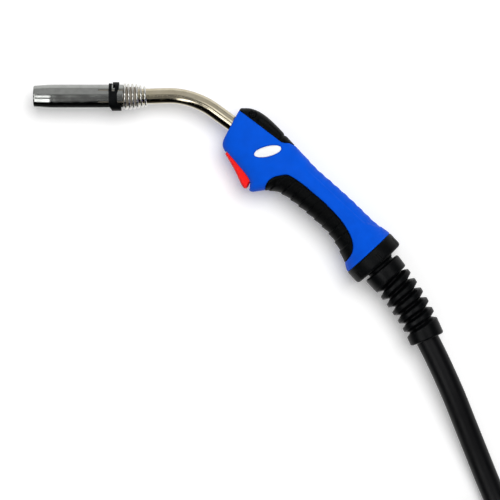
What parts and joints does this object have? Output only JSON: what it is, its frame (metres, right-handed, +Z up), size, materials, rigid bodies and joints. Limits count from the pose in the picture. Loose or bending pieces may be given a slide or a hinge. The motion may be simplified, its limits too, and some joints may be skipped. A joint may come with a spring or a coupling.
{
  "type": "mig welding torch",
  "caption": "Gas-cooled MIG welding torch: bent neck and gas nozzle, two-shell handle with ribbed grips, trigger, swivelling cable with helical bend guard, coiled lead and central connector.",
  "frame": {"origin": "centre of the torch's box (the cord left out) on the surface it lies on", "axes": "+X from the gas nozzle to the cable, +Y from the cable to the neck, +Z up through the left cheek of the handle"},
  "size_m": [0.477, 0.6887, 0.052],
  "materials": {
    "nickel": "satin nickel plate",
    "spring_steel": "bright drawn wire",
    "copper": "machined",
    "brass": "machined",
    "ceramic": "fired, matte",
    "phenolic": "moulded, matte",
    "neck_steel": "bright",
    "liner_steel": "wound wire",
    "blue_shell": "fine moulded grain",
    "black_plastic": "satin",
    "black_rubber": "matte",
    "cable_jacket": "satin",
    "badge_face": "satin",
    "red_plastic": "satin",
    "screw_steel": "turned",
    "switch_plastic": "moulded",
    "plunger_plastic": "moulded"
  },
  "bodies": {
    "torch": {"nozzle_spring": "spring_steel", "contact_tip": "copper", "tip_holder": "brass", "gas_diffuser": "ceramic", "nozzle_seat": "phenolic", "neck_tube": "neck_steel", "neck_insulation": "phenolic", "neck_core": "brass", "wire_liner": "liner_steel", "left_shell": "blue_shell", "right_shell": "blue_shell", "top_cap": "black_plastic", "cap_screw": "screw_steel", "left_grip": "black_rubber", "right_grip": "black_rubber", "badge": "badge_face", "trigger_pin": "screw_steel", "switch_frame": "phenolic", "switch_body": "switch_plastic", "trigger_spring": "spring_steel", "switch_leads": "cable_jacket", "neck_block": "brass", "cable_ferrule": "brass", "handle_cable": "cable_jacket", "cable_nut": "black_plastic"},
    "nozzle": {"gas_nozzle": "nickel", "nozzle_clip": "nickel"},
    "trigger": {"trigger": "red_plastic"},
    "plunger": {"switch_plunger": "plunger_plastic"},
    "cable": {"swivel_ball": "black_plastic", "guard_cable": "cable_jacket", "bend_guard": "black_rubber", "cable_run": "cable_jacket", "cable_coil": "cable_jacket", "cable_tail": "cable_jacket", "plug_guard": "black_rubber", "plug_housing": "black_plastic", "plug_body": "brass", "gas_pipe": "brass", "gas_seal": "black_rubber", "liner_nut": "brass"},
    "hand_nut": {"hand_nut": "black_plastic"},
    "control_pin_1": {"control_pin_1": "brass"},
    "control_pin_2": {"control_pin_2": "brass"}
  },
  "joints": [
    {"name": "nozzle_slide", "type": "slide", "parent": "torch", "child": "nozzle", "axis": [-1, 0, 0], "range_m": [0, 0.09]},
    {"name": "trigger_pivot", "type": "hinge", "parent": "torch", "child": "trigger", "pos_m": [-0.00409, 0.05713, 0.0259], "axis": [0, 0, 1], "range_deg": [0, 5], "stiffness_Nm_per_rad": 1.5, "deforming": ["trigger_spring"]},
    {"name": "plunger_slide", "type": "slide", "parent": "torch", "child": "plunger", "axis": [0.7349, 0.6782, 0], "range_m": [0, 0.00166]},
    {"name": "cable_swivel", "type": "hinge", "parent": "torch", "child": "cable", "pos_m": [0.11951, -0.037, 0.0259], "axis": [0, 0, 1], "range_deg": [-6, 8]},
    {"name": "hand_nut_spin", "type": "hinge", "parent": "cable", "child": "hand_nut", "pos_m": [-0.04, -0.544, 0.026], "axis": [-1, 0, 0], "continuous": true},
    {"name": "control_pin_1_slide", "type": "slide", "parent": "cable", "child": "control_pin_1", "axis": [1, 0, 0], "range_m": [0, 0.003], "stiffness_N_per_m": 600},
    {"name": "control_pin_2_slide", "type": "slide", "parent": "cable", "child": "control_pin_2", "axis": [1, 0, 0], "range_m": [0, 0.003], "stiffness_N_per_m": 600}
  ],
  "couplings": [
    {"joint": "plunger_slide", "follows": "trigger_pivot", "m_per_rad": 0.019}
  ]
}
